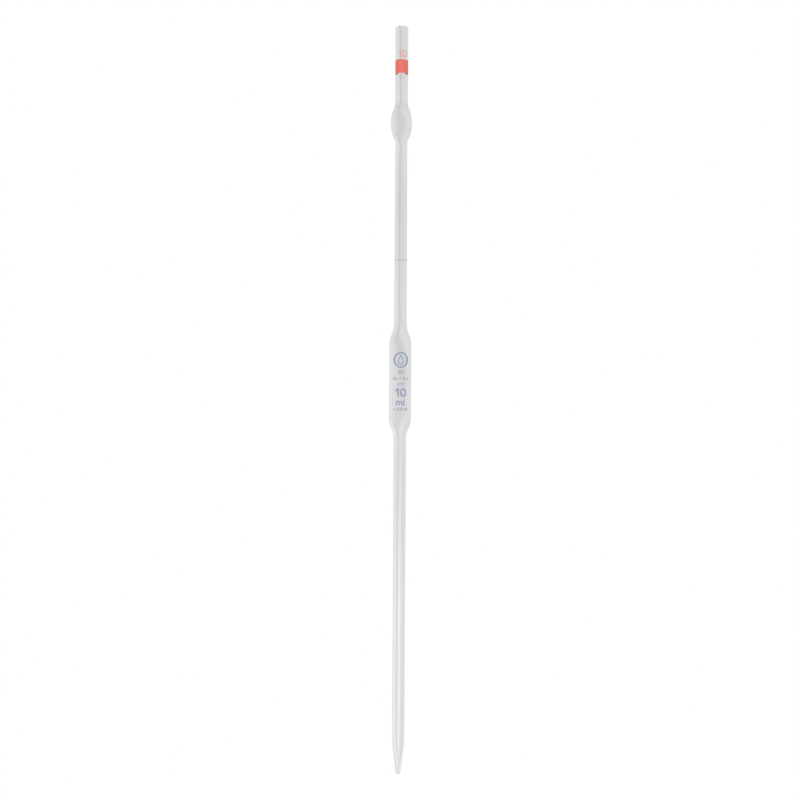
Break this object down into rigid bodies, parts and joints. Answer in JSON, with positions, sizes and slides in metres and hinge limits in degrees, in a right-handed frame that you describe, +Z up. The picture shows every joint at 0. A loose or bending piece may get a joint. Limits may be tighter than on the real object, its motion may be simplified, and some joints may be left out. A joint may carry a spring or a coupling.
{
  "type": "volumetric pipette",
  "caption": "Slim glass transfer pipette with a long stem and fine jet, a cylindrical measuring bulb, a small safety bulb, a red colour band and blue-grey fired marks.",
  "frame": {"origin": "centre of the jet's open end, at the bottom of the axis", "axes": "+Z up the bore from the jet to the mouthpiece; the printed side of the bulb faces -Y; +X to the right as the print is read"},
  "size_m": [0.013, 0.0131, 0.44],
  "materials": {
    "glass": "clear drawn laboratory glass, flame-sealed and fire-polished",
    "red_enamel": "fired red colour-code enamel, slightly glossy",
    "blue_enamel": "fired blue-grey printing enamel, thin and slightly matt"
  },
  "bodies": {
    "root": {"jet_tip": "glass", "delivery_tube": "glass", "measuring_bulb": "glass", "neck_tube": "glass", "safety_bulb": "glass", "mouthpiece_tube": "glass", "band_numerals": "red_enamel", "colour_code_band": "red_enamel", "ring_mark": "blue_enamel", "emblem": "blue_enamel", "class_mark": "blue_enamel", "delivery_mark": "blue_enamel", "temperature_mark": "blue_enamel", "capacity_numerals": "blue_enamel", "unit_letters": "blue_enamel", "tolerance_mark": "blue_enamel"}
  },
  "joints": []
}
